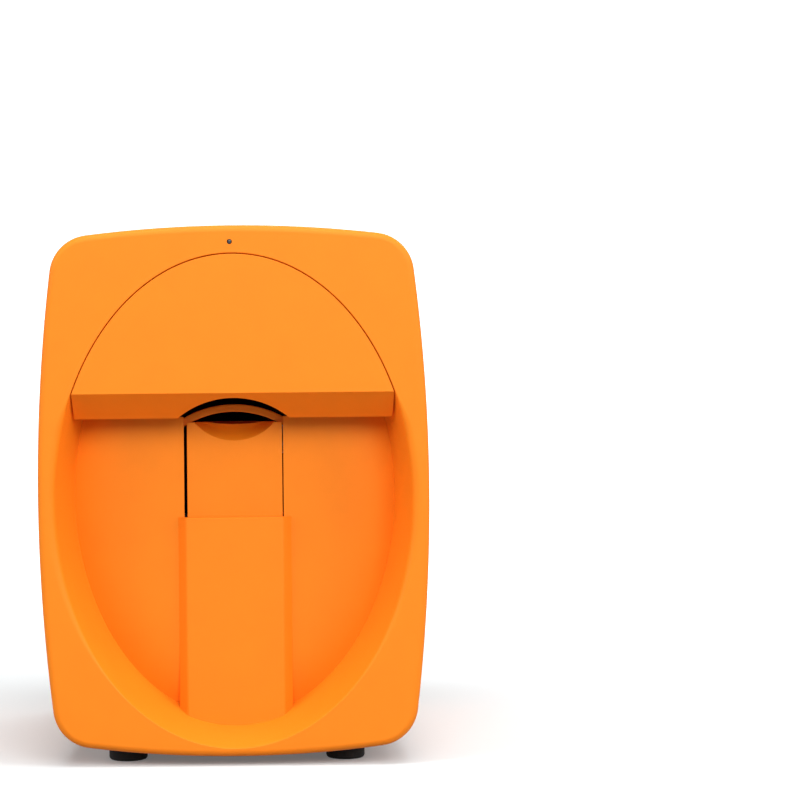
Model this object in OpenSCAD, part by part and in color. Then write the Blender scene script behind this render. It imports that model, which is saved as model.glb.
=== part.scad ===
// Desktop digital nail printer.
// A bowed housing with an oval hand bowl, a flip-up hood over the print bay,
// a sprung finger rest, and an inkjet head on an X carriage and a Y gantry.
// Millimetres. X is to the right, Y to the back, Z up. The origin is on the table,
// below the middle of the housing.

/* [Body] */
// Width of the body at its widest, at mid height
body_w = 190; // [186:1:200]
// Height of the body without its feet
body_h = 257.5; // [254:0.5:268]
// Depth of the body from front face to back face
body_d = 232; // [228:1:250]
// Radius of the bowed sides
side_r = 870; // [760:10:1200]
// Radius of the bowed top
top_r = 590; // [520:10:800]
// Radius of the bowed underside
bottom_r = 550; // [500:10:700]
// Radius of the four corners in the front view
corner_r = 20; // [17:0.5:24]
// Radius of the edge round the front face
edge_r = 3.5; // [2.5:0.25:4.5]
// How far the rear shell draws in towards the back
rear_taper = 2; // [1:0.25:3]
// Radius of the edge round the back face
rear_edge_r = 12; // [9:0.5:14]
// Wall thickness of both shells
wall = 2.5; // [2.1:0.1:2.8]
// Depth of the front shell from the front face to the shell seam
front_d = 44; // [41:1:48]
// Width of the visible seams between outer pieces
seam = 0.5; // [0.4:0.05:0.7]

/* [Bowl] */
// Front face left beside the bowl at its widest
rim_side = 7.7; // [6.5:0.1:9]
// Front face left above the bowl
rim_top = 13.5; // [12.8:0.1:15]
// Front face left below the bowl
rim_bottom = 4.2; // [3.6:0.1:6]
// Depth of the middle of the bowl's back wall behind the front face
bowl_depth = 28; // [27:0.5:30]
// How far the bowl's side wall draws in on its way to the crease at the back
bowl_draft = 7.9; // [7:0.1:9]
// How far the back outline is raised above the front outline
bowl_rise = 2.6; // [2:0.1:3.4]
// How far the back wall bulges forward from the crease at its edge
bulge = 4.5; // [3:0.25:5]
// Width of the curved edge of the back wall
bulge_w = 40; // [32:1:42]

/* [Hood] */
// Front lower edge of the hood below the top of the body
hood_drop = 81.4; // [79:0.2:84]
// Height of the slanted underside of the hood
bevel_h = 12.2; // [11:0.2:13]
// Depth of the slanted underside of the hood
bevel_d = 14; // [12:0.5:16]
// Wall thickness of the hood
hood_wall = 2.2; // [1.8:0.1:2.6]
// Draw-in of the hood's edge for each millimetre of depth, so that it swings clear
hood_draft = 0.5; // [0.4:0.05:0.6]
// Radius of the finger notch in the slanted underside
notch_r = 43; // [38:1:50]
// Top of the finger notch below the hood's front lower edge
notch_drop = 2.4; // [1.8:0.2:4]
// Hood hinge axis behind the front face
hinge_back = 6; // [5.8:0.1:6.6]
// Hood hinge axis above the top of the bowl
hinge_up = 6.5; // [6:0.1:6.8]
// Diameter of the hood hinge pins
hinge_pin_d = 2.5; // [2:0.1:2.8]
// Distance of each hinge arm from the middle
arm_x = 14; // [12:0.5:18]
// Thickness of each hinge arm
arm_t = 3.4; // [2.8:0.2:4]
// Width of the curved band of each hinge arm
arm_band = 3.4; // [2.8:0.2:3.8]

/* [Finger rest] */
// Width of the sliding finger rest
rest_w = 47.2; // [45:0.2:49]
// Thickness of the finger rest panel
rest_t = 2.2; // [1.8:0.1:2.5]
// Gap beside the finger rest, where it is centred in its slot
rest_gap = 1.05; // [0.7:0.05:1.2]
// Sideways offset of the finger rest in its slot
rest_offset = 0.5; // [0:0.05:0.55]
// Top of the finger rest below the hood's lower back edge
rest_drop = 2.1; // [1.5:0.1:3]
// Height of the finger rest that shows above the pocket
rest_show = 47; // [44:0.5:50]
// Height of the finger rest hidden behind the pocket
rest_hidden = 29; // [26:0.5:32]
// How far the finger rest can be pushed down
rest_travel = 16; // [12:0.5:17]
// Width of the finger scoop in the top of the rest
scoop_w = 39.5; // [36:0.5:41]
// Depth of the finger scoop
scoop_depth = 9.2; // [8:0.1:10]
// Width of the pocket where it meets the back wall
pocket_w = 56; // [53:0.5:60]
// How far the pocket stands proud of the back wall
pocket_proud = 4; // [3:0.25:5]
// Thickness of the arched lip over the finger opening
lip_t = 3.7; // [3:0.1:4.2]
// Depth of the arched lip
lip_d = 12; // [9:0.5:13]
// Inner radius of the arched lip
lip_r = 46.6; // [44:0.2:50]
// Underside of the arched lip above the top of the finger rest
lip_rise = 5.1; // [4.6:0.1:6]
// Depth of the tapered lead-in of the finger channel
lead_in = 8; // [6:0.5:10]
// Depth of the channel below the top of the rest, behind its lead-in
lead_depth = 4.4; // [4:0.1:5]
// Width of the channel behind its lead-in
lead_w = 34; // [30:0.5:36]
// Depth of the short ramp from the lead-in up to the level floor
ramp_in = 2; // [1:0.5:6]
// Depth of the channel's level floor below the top of the rest
floor_depth = 1.2; // [1:0.1:2]
// Width of the channel over its level floor
floor_w = 27.4; // [24:0.2:30]
// Depth of the finger cradle behind the rest panel
cradle_d = 42; // [38:1:44]
// Diameter of the finger rest's guide rods
guide_rod_d = 4; // [3:0.25:5]
// Distance of each guide rod from the middle
guide_x = 16; // [14:0.5:18]

/* [Feet] */
// Gap between the table and the lowest point of the body
foot_gap = 4.5; // [4:0.25:6]
// Diameter of each foot
foot_d = 19; // [16:0.5:22]
// Sideways distance of each foot from the middle
foot_x = 53.7; // [50:0.5:56]
// Distance of each foot from the front and back of the body
foot_inset = 27; // [25:0.5:30]
// Diameter of the foot screws
foot_screw_d = 4; // [3:0.5:5]

/* [Chassis] */
// Gap between the chassis and the widest part of the body, on each side
frame_gap = 19; // [18:0.5:20]
// Thickness of the chassis plates
plate_t = 1.5; // [1.2:0.1:1.8]
// Thickness of the base plate
base_t = 2; // [1.5:0.1:2.5]
// Underside of the base plate above the lowest point of the body
base_lift = 9; // [8.6:0.1:10]
// Gap between the chassis frames and the top of the body
frame_drop = 26; // [24:0.5:30]
// Width of the lower window in the front frame
window_w = 72; // [68:1:76]
// Width of the loading window in the front frame
load_w = 104; // [96:1:108]

/* [Print mechanism] */
// Diameter of the Y guide rods
y_rod_d = 8; // [7:0.5:9]
// Diameter of the X guide rods
x_rod_d = 6; // [5:0.5:6.5]
// Outer diameter of the bushes on the Y rods
y_bush_d = 12; // [11:0.5:13]
// Outer diameter of the bushes on the X rods
x_bush_d = 10; // [8.5:0.5:10.5]
// Radial running clearance of every shaft and slide bore
run_gap = 0.05; // [0.03:0.01:0.08]
// Diameter of the Y lead screw
screw_d = 6; // [5:0.5:6.5]
// Clearance between the parked gantry's motor and the rear frame
gantry_gap = 6.5; // [5.5:0.5:9]
// Distance from the side frame to the middle of the parked carriage
carriage_in = 44; // [43:0.5:50]
// Gap between the print head and the underside of the lip
head_gap = 2.1; // [1.5:0.1:3]
// Width of the ink cartridge
cart_w = 34; // [30:0.5:35]
// Depth of the ink cartridge
cart_d = 45.7; // [42:0.1:46]
// Height of the ink cartridge's body
cart_h = 46; // [42:0.5:48]
// Height of the print head below the cartridge's body
snout_h = 12.5; // [11:0.5:14]
// Radius of the belt pulleys under the belt
pulley_r = 6; // [5:0.25:6.5]
// Width of the drive belt
belt_w = 6; // [5:0.25:6.5]
// Thickness of the drive belt
belt_t = 1.2; // [0.8:0.1:1.4]
// Side of the square stepper motors
motor_w = 28; // [26:0.5:29]
// Length of the stepper motors
motor_l = 28; // [24:0.5:29]

/* [Electronics and rear panel] */
// Width of the main circuit board
board_w = 110; // [100:1:114]
// Height of the main circuit board
board_h = 110; // [100:1:116]
// Thickness of the circuit boards
board_t = 1.6; // [1:0.1:2]
// Width of the rear panel
panel_w = 120; // [110:1:126]
// Height of the rear panel
panel_h = 62; // [56:1:66]
// Diameter of the power button
button_d = 12; // [9:0.5:14]
// Travel of the power button
button_travel = 1.6; // [1:0.1:2]
// Bore of the power inlet
inlet_d = 5.6; // [5:0.1:6.4]
// Diameter of the status light
light_d = 2.3; // [1.8:0.1:3]
// Place of the status light, to the right of the middle
light_x = -0.9; // [-3:0.1:3]
// Diameter of the camera lens over the print bay
camera_d = 5; // [4:0.5:5]

/* [Hidden] */
$fn = 64;

orange = "#ff922f";
black = "#1b1b1d";
steel = "#b9bcc0";
white = "#e9e9e6";
brass = "#c9a14a";
green = "#1f6b45";
eps = 0.01;

// Body planes and centres. Points of the front view are [x, z].
z_low = foot_gap;
z_top = foot_gap + body_h;
z_mid = foot_gap + body_h / 2;
y_front = -body_d / 2;
y_rear = body_d / 2;
y_seam = y_front + front_d;
side_c = [body_w / 2 - side_r, z_mid];
top_c = [0, z_top - top_r];
bottom_c = [0, z_low + bottom_r];

// Direction of a vector, in degrees
function heading(v) = atan2(v.y, v.x);
// Where two circles cross, to the left (way 1) or right (way -1) of the line c1 to c2
function crossing(c1, r1, c2, r2, way) =
    let (v = c2 - c1, d = norm(v), a = (r1 * r1 - r2 * r2 + d * d) / (2 * d),
         h = sqrt(r1 * r1 - a * a))
    c1 + v * a / d + way * h * [-v.y, v.x] / d;
// Points along an arc, without its last one
function arc(c, r, a0, a1, n) =
    [for (i = [0:n - 1]) c + r * [cos(a0 + (a1 - a0) * i / n), sin(a0 + (a1 - a0) * i / n)]];
top_k = crossing(side_c, side_r - corner_r, top_c, top_r - corner_r, 1);
bottom_k = crossing(side_c, side_r - corner_r, bottom_c, bottom_r - corner_r, -1);
// The right half of the body's front outline, drawn in by d
function half_outline(d) = concat(
    arc(bottom_c, bottom_r - d, -90, heading(bottom_k - bottom_c), 9),
    arc(bottom_k, corner_r - d, heading(bottom_k - bottom_c), heading(bottom_k - side_c), 6),
    arc(side_c, side_r - d, heading(bottom_k - side_c), heading(top_k - side_c), 12),
    arc(top_k, corner_r - d, heading(top_k - side_c), heading(top_k - top_c), 6),
    arc(top_c, top_r - d, heading(top_k - top_c), 90, 9),
    [[0, z_top - d]]);
function outline(d) =
    let (h = half_outline(d))
    concat(h, [for (i = [len(h) - 2:-1:1]) [-h[i].x, h[i].y]]);
// Height of the body's underside at a distance x from the middle, drawn in by d
function underside(x, d) = bottom_c.y - sqrt(pow(bottom_r - d, 2) - x * x);
// How far the rear shell is drawn in at a depth y
function draw_in(y) = rear_taper * max(0, y - y_seam) / (y_rear - rear_edge_r - y_seam);

// The bowl: an oval that draws in and rises on its way to the crease round its bulging back wall
bowl_a = body_w / 2 - rim_side;
bowl_b = (body_h - rim_top - rim_bottom) / 2;
bowl_z = z_low + rim_bottom + bowl_b;
bowl_top = bowl_z + bowl_b;
y_bowl = y_front + bowl_depth;
crease_depth = bowl_depth + bulge;
y_crease = y_front + crease_depth;
bowl_floor = bowl_z + bowl_rise - bowl_b + bowl_draft;
oval_n = 88;
// Outline of the bowl at depth t, drawn in by a further d
function oval(t, d, n = oval_n) =
    let (f = t / crease_depth, s = bowl_draft * f + d)
    [for (i = [0:n - 1])
        [(bowl_a - s) * cos(360 * i / n),
         bowl_z + bowl_rise * f + (bowl_b - s) * sin(360 * i / n)]];
// The same outline as points in space, at the depth t
function oval_ring(t, d) = ring(oval(t, d), y_front + t);
function ring(points, y) = [for (p = points) [p.x, y, p.y]];

// A convex solid between each two rings that follow each other
module loft(rings)
    for (k = [0:len(rings) - 2]) hull() {
        n = len(rings[k]);
        polyhedron(
            points = concat(rings[k], rings[k + 1]),
            faces = concat(
                [[for (i = [0:n - 1]) i]],
                [for (i = [0:n - 1]) [i, i + n, (i + 1) % n + n, (i + 1) % n]],
                [[for (i = [n - 1:-1:0]) i + n]]));
    }
// Rings round an edge of radius r, from the face at y inwards. way is 1 at the front.
function edge_rings(y, r, d, way) =
    [for (a = [0:22.5:90]) ring(outline(d + r - r * sin(a)), y + way * (r - r * cos(a)))];
// A flat drawing in the front view, made solid from depth y0 to y1
module slab(y0, y1) translate([0, y1, 0]) rotate([90, 0, 0]) linear_extrude(y1 - y0) children();
// A drawing of the side view, [y, z], made solid from x0 to x1
module side_slab(x0, x1)
    translate([x0, 0, 0]) rotate([90, 0, 90]) linear_extrude(x1 - x0) children();
// A box from its low corner to its high corner
module block(low, high) translate(low) cube(high - low);
// Round bars along each axis
module bar_x(x0, x1, y, z, d) translate([x0, y, z]) rotate([0, 90, 0]) cylinder(h = x1 - x0, d = d);
module bar_y(y0, y1, x, z, d) translate([x, y1, z]) rotate([90, 0, 0]) cylinder(h = y1 - y0, d = d);
module bar_z(z0, z1, x, y, d) translate([x, y, z0]) cylinder(h = z1 - z0, d = d);
module both_sides() {
    children();
    mirror([1, 0, 0]) children();
}

// Hood
y_bevel = y_front + bevel_d;
hood_z = z_top - hood_drop;
hood_back_z = hood_z - bevel_h;
pin_y = y_front + hinge_back;
pin_z = bowl_top + hinge_up;
hub_r = hinge_pin_d / 2 + 1.45;
neck_in = norm([hinge_back, hinge_up]) + 1.65;
neck_out = neck_in + arm_band;
foot_pad_t = 1.5;
pad_top = bowl_top - 5.5;
lug_t = 1.5;
lug_gap = 0.3;

// Finger rest and pocket
rest_top = hood_back_z - rest_drop;
pocket_top = rest_top - rest_show;
rest_low = pocket_top - rest_hidden;
mouth_z = hood_back_z + 0.6;
fit = 0.3;
// Middles of the slot and of the finger rest in it
slot_x = -0.3;
rest_x = slot_x + rest_offset;
y_rest = y_bowl + fit;
y_carrier = y_rest + rest_t;
slot_low = rest_low - rest_travel - 2;
lip_z = rest_top + lip_rise;

// Chassis
y_ff = y_crease + wall + 0.5;
y_fb = y_ff + plate_t;
frame_x = body_w / 2 - frame_gap;
base_z = z_low + base_lift;
deck_z = base_z + base_t;
frame_top = z_top - frame_drop;
y_rf = y_rear - 40;
y_rb = y_rf + plate_t;
// Bosses of the front frame: outside its window, below the slot and below the mouth
boss_out = 12;
boss_low = 8;
boss_high = 14.5;
boss_d = 9;
y_foot_f = y_front + foot_inset;
y_foot_r = y_rear - foot_inset;
base_x = foot_x + 8.3;

// Print mechanism. gy is the gantry's X rods at rest, cx the carriage's middle at rest.
head_z = lip_z + head_gap;
cart_z = head_z + snout_h;
rod_x = frame_x - 10;
rod_z = cart_z + 10;
x_rod_low = cart_z + 24;
x_rod_high = x_rod_low + 20;
belt_z = (x_rod_low + x_rod_high) / 2;
beam_t = 3;
belt_out = 8;
beam_gap = 1.5;
gy = y_rf - gantry_gap - motor_l - beam_t - beam_gap - belt_w - belt_out;
cx = frame_x - carriage_in;
block_in = cx + 24;
block_out = frame_x - 2;
block_low = rod_z - 8;
block_top = x_rod_high + 8;
y_belt = gy + belt_out;
y_beam = y_belt + belt_w + beam_gap;
pulley_x = cx + 14;
belt_in = pulley_r + fit;
pulley_flange_r = belt_in + belt_t + 0.4;
// Front and back of the gantry's side blocks, and length of each Y bush
block_front = gy - 14;
block_back = y_beam + beam_t;
bush_l = 9;
// Cartridge holder and the latch over it
holder_w = 40;
holder_gap = 0.3;
holder_t = 2.6;
latch_y = gy - 5.5;
latch_z = x_rod_high + 12;
latch_w = 30;
latch_pin_d = 3;
ear_t = 3;
cart_front = gy - 56;
head_y = gy - 44;

// Electronics
y_board = y_rear - 18;
panel_z = z_low + 28;
inlet_x = -30;
socket_x = 8;
button_x = 44;
port_z = panel_z + 31;
light_z = z_top - 8.2;

// ---------------------------------------------------------------- housing

// A boss that carries the base plate over a foot, and the hole for its screw
module foot_boss(y) both_sides()
    bar_z(underside(foot_x, draw_in(y)) + 1, base_z, foot_x, y, foot_screw_d + 6);
module foot_hole(y) both_sides() bar_z(0, base_z + 1, foot_x, y, foot_screw_d + 0.4);

// The bowl as cut from the front, down to the crease round its back wall
module bowl_space() loft([oval_ring(-1, 0), oval_ring(0, 0), oval_ring(crease_depth, 0)]);
// What lies behind the bulging face of the back wall, or behind its rear face, drawn in by d
module bulge_form(d) loft(concat(
    [ring(oval(crease_depth, d), y_ff + 1), ring(oval(crease_depth, d), y_crease + d)],
    [for (t = [0.12, 0.35, 0.65, 1]) ring(
        oval(crease_depth, bulge_w * t + d), y_crease - bulge * (1 - pow(1 - t, 3.5)) + d)]));

// The slot that the finger rest slides in, and the loading window behind the hood
module rest_slot() block(
    [slot_x - rest_w / 2 - rest_gap, y_bowl, slot_low],
    [slot_x + rest_w / 2 + rest_gap, y_bowl + wall + 1, mouth_z + eps]);
module loading_window() intersection() {
    slab(y_bowl - 1, y_crease + wall + 1) polygon(oval(crease_depth, 9, 61));
    block([-body_w, y_front, mouth_z], [body_w, 0, z_top]);
}

// The pocket that the finger rest slides down behind
module pocket() translate([0, 0, bowl_floor - 1]) linear_extrude(pocket_top - bowl_floor + 1)
    polygon([[-pocket_w / 2, y_crease], [-pocket_w / 2, y_bowl],
             [-pocket_w / 2 + pocket_proud, y_bowl - pocket_proud],
             [pocket_w / 2 - pocket_proud, y_bowl - pocket_proud],
             [pocket_w / 2, y_bowl], [pocket_w / 2, y_crease]]);

module frame_bosses() both_sides() for (z = [slot_low - boss_low, mouth_z - boss_high])
    bar_y(y_bowl, y_ff, window_w / 2 + boss_out, z, boss_d);

module front_shell() color(orange) difference() {
    union() {
        difference() {
            union() {
                difference() {
                    loft(concat(edge_rings(y_front, edge_r, 0, 1),
                                [ring(outline(0), y_seam - seam / 2)]));
                    loft([ring(outline(wall + 1), y_front + wall),
                          ring(outline(wall), y_front + wall + 1),
                          ring(outline(wall), y_seam + 1)]);
                }
                // wall of the bowl
                loft([oval_ring(edge_r / 2, -wall), oval_ring(crease_depth, -wall),
                      ring(oval(crease_depth, -wall), y_crease + wall)]);
                foot_boss(y_foot_f);
            }
            difference() {
                bowl_space();
                bulge_form(0);
                pocket();
            }
            bulge_form(wall);
        }
        // bosses that the front frame is screwed to
        intersection() {
            frame_bosses();
            bulge_form(0);
        }
    }
    rest_slot();
    loading_window();
    foot_hole(y_foot_f);
    both_sides() block([arm_x - arm_t / 2 - 0.8, pin_y - 1, bowl_top - 9],
                       [arm_x + arm_t / 2 + 0.8, pin_y + neck_out + 1.5, bowl_top + wall + 1]);
    bar_y(y_front - 1, y_front + wall + 1, light_x, light_z, light_d + 0.2);
}

module rear_shell() color(orange) difference() {
    union() {
        difference() {
            loft(concat([ring(outline(0), y_seam + seam / 2)],
                        [for (i = [4:-1:0]) edge_rings(y_rear, rear_edge_r, rear_taper, -1)[i]]));
            loft(concat([ring(outline(wall), y_seam - 1)],
                        [for (i = [4:-1:0]) edge_rings(y_rear - wall, rear_edge_r - wall,
                                                       rear_taper + wall, -1)[i]]));
        }
        // tongue that aligns the two shells
        difference() {
            loft([ring(outline(wall + 0.15), y_seam - 3), ring(outline(wall + 0.15), y_seam - 0.3),
                  ring(outline(wall - 0.7), y_seam + 1), ring(outline(wall - 0.7), y_seam + 3)]);
            loft([ring(outline(wall + 1.4), y_seam - 4), ring(outline(wall + 1.4), y_seam + 1.5),
                  ring(outline(wall + 0.4), y_seam + 4)]);
        }
        foot_boss(y_foot_r);
        // rim that carries the rear panel
        difference() {
            block([-panel_w / 2 - 3, y_rear - 5, panel_z - 3],
                  [panel_w / 2 + 3, y_rear - 1, panel_z + panel_h + 3]);
            block([-panel_w / 2 + 3, y_rear - 6, panel_z + 3],
                  [panel_w / 2 - 3, y_rear, panel_z + panel_h - 3]);
        }
    }
    block([-panel_w / 2 - fit, y_rear - wall, panel_z - fit],
          [panel_w / 2 + fit, y_rear + 1, panel_z + panel_h + fit]);
    foot_hole(y_foot_r);
}

// A plate with square-cut slots for air, and the openings of the ports
module rear_panel() color(black) difference() {
    block([-panel_w / 2, y_rear - wall + eps, panel_z], [panel_w / 2, y_rear - 0.3, panel_z + panel_h]);
    for (i = [0:9]) block([-49.5 + 10 * i, y_rear - 5, panel_z + 44],
                          [-46.5 + 10 * i, y_rear + 1, panel_z + 56]);
    bar_y(y_rear - 5, y_rear + 1, inlet_x, port_z, inlet_d + 4);
    block([socket_x - 5.2, y_rear - 5, port_z - 2.6], [socket_x + 5.2, y_rear + 1, port_z + 2.6]);
    bar_y(y_rear - 5, y_rear + 1, button_x, port_z, button_d + 2 * fit);
}

module foot(x, y) color(black) difference() {
    bar_z(0, 12, x, y, foot_d);
    bar_y(y - foot_d, y + foot_d, bottom_c.x, bottom_c.y, 2 * (bottom_r - draw_in(y - foot_d / 2)) + 0.1,
          $fn = 360);
    bar_z(-1, 3, x, y, foot_screw_d + 4);
    bar_z(0, 13, x, y, foot_screw_d + 0.4);
}

module foot_screws() color(steel) for (x = [-foot_x, foot_x], y = [y_foot_f, y_foot_r]) {
    bar_z(0.6, 3, x, y, foot_screw_d + 3.4);
    bar_z(3, deck_z + 1.2, x, y, foot_screw_d);
}

// ---------------------------------------------------------------- chassis

module base_plate() color(steel) difference() {
    union() {
        block([-base_x, y_fb, base_z], [base_x, y_foot_r + 9, deck_z]);
        both_sides() block([base_x - 17, y_foot_f - 9, base_z], [base_x, y_fb, deck_z]);
    }
    for (x = [-foot_x, foot_x], y = [y_foot_f, y_foot_r])
        bar_z(base_z - 1, deck_z + 1, x, y, foot_screw_d);
}

module front_frame() color(black) difference() {
    block([-frame_x, y_ff, deck_z], [frame_x, y_fb, frame_top]);
    // window for the finger rest's slide, and the loading window above it
    block([-window_w / 2, y_ff - 1, slot_low - 4], [window_w / 2, y_fb + 1, mouth_z + 1]);
    block([-load_w / 2, y_ff - 1, mouth_z], [load_w / 2, y_fb + 1, frame_top - 6]);
    both_sides() bar_y(y_ff - 1, y_fb + 1, rod_x, rod_z, y_rod_d);
    bar_y(y_ff - 1, y_fb + 1, -rod_x, belt_z, screw_d - 2 + 2 * run_gap);
}

module rear_frame() color(black) difference() {
    union() {
        block([-frame_x, y_rf, deck_z], [frame_x, y_rb, frame_top]);
        // posts for the main board
        for (x = [-1, 1], z = [0, 1])
            bar_y(y_rb - eps, y_board, x * (board_w / 2 - 6), panel_z + 6 + z * (board_h - 12), 6);
    }
    both_sides() bar_y(y_rf - 1, y_rb + 1, rod_x, rod_z, y_rod_d);
    bar_y(y_rf - 1, y_rb + 1, -rod_x, belt_z, 14);
}

module side_frame() color(black) {
    block([frame_x - plate_t, y_fb, deck_z], [frame_x, y_rf, frame_top]);
    block([base_x - 12, y_fb, deck_z], [frame_x - plate_t + eps, y_rf, deck_z + plate_t]);
}

// ---------------------------------------------------------------- hood

// Section of the slanted underside, with a flange at its back
module bevel_section() {
    n = [bevel_h, bevel_d] / norm([bevel_h, bevel_d]) * hood_wall;
    polygon([[y_front - 1, hood_z + bevel_h / bevel_d], [y_bevel, hood_back_z],
             [y_bevel, hood_back_z + 9], [y_bevel - hood_wall, hood_back_z + 9],
             [y_bevel - hood_wall, hood_back_z + n.y + hood_wall * bevel_h / bevel_d],
             [y_front + n.x, hood_z + n.y + 1], [y_front - 1, hood_z + n.y + 2]]);
}
// Outline of the hood at depth t, clear of the bowl's wall by the seam
function hood_ring(t, extra) = oval_ring(t, seam + extra);

module hood() color(orange) difference() {
    union() {
        // front skin, with a small round along its edge
        difference() {
            loft([hood_ring(0, 0.6), hood_ring(0.2, 0.25), hood_ring(0.6, 0.1),
                  hood_ring(hood_wall, hood_draft * hood_wall)]);
            block([-body_w, y_front - 1, 0], [body_w, y_bevel, hood_z + 1]);
        }
        // slanted underside, and the ribs that tie it to the skin
        intersection() {
            loft([hood_ring(0, 0.6), hood_ring(0.2, 0.25), hood_ring(0.6, 0.1),
                  hood_ring(hood_wall, 0.3), hood_ring(bevel_d, 0.8)]);
            union() {
                side_slab(-body_w, body_w) bevel_section();
                for (x = [-60, -30, 30, 60]) side_slab(x - 0.8, x + 0.8)
                    polygon([[y_front + hood_wall / 2, hood_z + 1], [y_bevel - 1, hood_back_z + 2],
                             [y_bevel - 1, hood_back_z + 9], [y_front + hood_wall / 2, hood_z + 14]]);
            }
        }
        // pads for the hinge arms
        both_sides() block([arm_x - 4, y_front + hood_wall - 0.5, bowl_top - 13],
                           [arm_x + 4, y_front + hood_wall + 0.5, pad_top]);
    }
    // finger notch
    bar_y(y_front - 2, y_bevel + 1, 0, hood_z - notch_drop - notch_r, 2 * notch_r, $fn = 128);
}

// A bent arm: hub on the pin, curved neck round the shell's edge, foot on the hood
module hood_arm(s) color(black) difference() {
    union() {
        side_slab(s * arm_x - arm_t / 2, s * arm_x + arm_t / 2) union() {
            translate([pin_y, pin_z]) circle(r = hub_r);
            translate([pin_y, pin_z - hub_r + 1.1]) square([neck_in + 1, 3.4]);
            intersection() {
                translate([pin_y, pin_z]) difference() {
                    circle(r = neck_out);
                    circle(r = neck_in);
                }
                polygon([[y_front + hood_wall + 0.5, 0], [y_rear, 0], [y_rear, pin_z + 2],
                         [pin_y, pin_z + 2], [pin_y, pin_z - neck_in + 2],
                         [y_front + hood_wall + 0.5, pin_z - neck_in + 2]]);
            }
        }
        block([s * arm_x - 4, y_front + hood_wall + 0.5, bowl_top - 13],
              [s * arm_x + 4, y_front + hood_wall + 0.5 + foot_pad_t, pad_top]);
    }
    bar_x(s * arm_x - 5, s * arm_x + 5, pin_y, pin_z, hinge_pin_d + 2 * run_gap);
}

module hood_bracket(s) color(steel) difference() {
    x_in = arm_t / 2 + lug_gap;
    union() {
        for (w = [-1, 1]) block(
            [s * arm_x + w * (x_in + lug_t / 2) - lug_t / 2, y_front + wall, pin_z - 3],
            [s * arm_x + w * (x_in + lug_t / 2) + lug_t / 2, pin_y + 3.5, pin_z + hub_r + fit + eps]);
        block([s * arm_x - x_in - lug_t, y_front + wall + 1, pin_z + hub_r + fit],
              [s * arm_x + x_in + lug_t, pin_y + 3.5, pin_z + hub_r + fit + 0.8]);
    }
    bar_x(s * arm_x - 9, s * arm_x + 9, pin_y, pin_z, hinge_pin_d);
}

module hood_pin(s) color(steel)
    bar_x(s * arm_x - arm_t / 2 - lug_gap - lug_t - 0.4, s * arm_x + arm_t / 2 + lug_gap + lug_t + 0.4,
          pin_y, pin_z, hinge_pin_d);

// ---------------------------------------------------------------- finger rest

// The channel that the finger lies in: a lead-in whose floor rises, a short ramp, a level floor
module channel(y_end) {
    y_lead = y_rest + lead_in;
    y_level = y_lead + ramp_in;
    channel_step(y_rest - 1, y_rest, scoop_w, scoop_depth, scoop_w, scoop_depth);
    channel_step(y_rest - eps, y_lead, scoop_w, scoop_depth, lead_w, lead_depth);
    channel_step(y_lead - eps, y_level, lead_w, lead_depth, floor_w, floor_depth);
    channel_step(y_level - eps, y_end, floor_w, floor_depth, floor_w, floor_depth);
}
module channel_step(y0, y1, w0, d0, w1, d1) hull() {
    channel_end(y0, w0, d0);
    channel_end(y1 - eps, w1, d1);
}
// A thin disc whose edge is w wide at the top of the rest and lies d below it in the middle
module channel_end(y, w, d) {
    r = (w * w / 4 + d * d) / (2 * d);
    bar_y(y, y + eps, rest_x, rest_top - d + r, 2 * r, $fn = 180);
}

module finger_rest() color(orange) difference() {
    slab(y_rest, y_carrier) translate([rest_x, 0]) polygon([
        [-rest_w / 2, rest_low], [rest_w / 2, rest_low],
        [rest_w / 2, rest_top - 1], [rest_w / 2 - 1, rest_top],
        [-rest_w / 2 + 1, rest_top], [-rest_w / 2, rest_top - 1]]);
    channel(y_carrier + cradle_d);
}

rod_y = y_fb + 10;
carrier_low = rest_low + 5;
carrier_h = 20;
shelf_low = slot_low - 16;
shelf_high = carrier_low + carrier_h + 2;
shelf_t = 3;

module finger_carrier() color(black) difference() {
    block([rest_x - guide_x - 7, y_carrier, carrier_low],
          [rest_x + guide_x + 7, rod_y + 6, carrier_low + carrier_h]);
    both_sides() bar_z(0, z_top, guide_x, rod_y, guide_rod_d + 2 * run_gap);
}

module finger_cradle() color(orange) difference() {
    tray_w = scoop_w;
    union() {
        block([rest_x - tray_w / 2, y_carrier, rest_top - scoop_depth - 9],
              [rest_x + tray_w / 2, y_carrier + cradle_d, rest_top]);
        block([rest_x - 7.5, y_carrier, carrier_low + carrier_h],
              [rest_x + 7.5, y_carrier + 12, rest_top - scoop_depth - 8]);
    }
    // the channel ends at a stop for the fingertip
    channel(y_carrier + cradle_d - 2.5);
}

module finger_guide_bracket() color(black) difference() {
    union() {
        both_sides() block([window_w / 2 + 1, y_fb, shelf_low],
                           [window_w / 2 + 9, y_fb + plate_t, shelf_high + shelf_t]);
        block([-window_w / 2 - 9, y_fb, shelf_low], [window_w / 2 + 9, rod_y + 8, shelf_low + shelf_t]);
        both_sides() block([8.5, y_fb, shelf_high],
                           [window_w / 2 + 9, rod_y + 8, shelf_high + shelf_t]);
    }
    both_sides() bar_z(0, z_top, guide_x, rod_y, guide_rod_d);
}

module finger_rod(s) color(steel) bar_z(shelf_low, shelf_high + shelf_t, s * guide_x, rod_y, guide_rod_d);

module finger_springs() color(steel) for (s = [-1, 1]) difference() {
    bar_z(shelf_low + shelf_t, carrier_low, s * guide_x, rod_y, guide_rod_d + 3.4);
    bar_z(0, z_top, s * guide_x, rod_y, guide_rod_d + 0.8);
}

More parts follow.
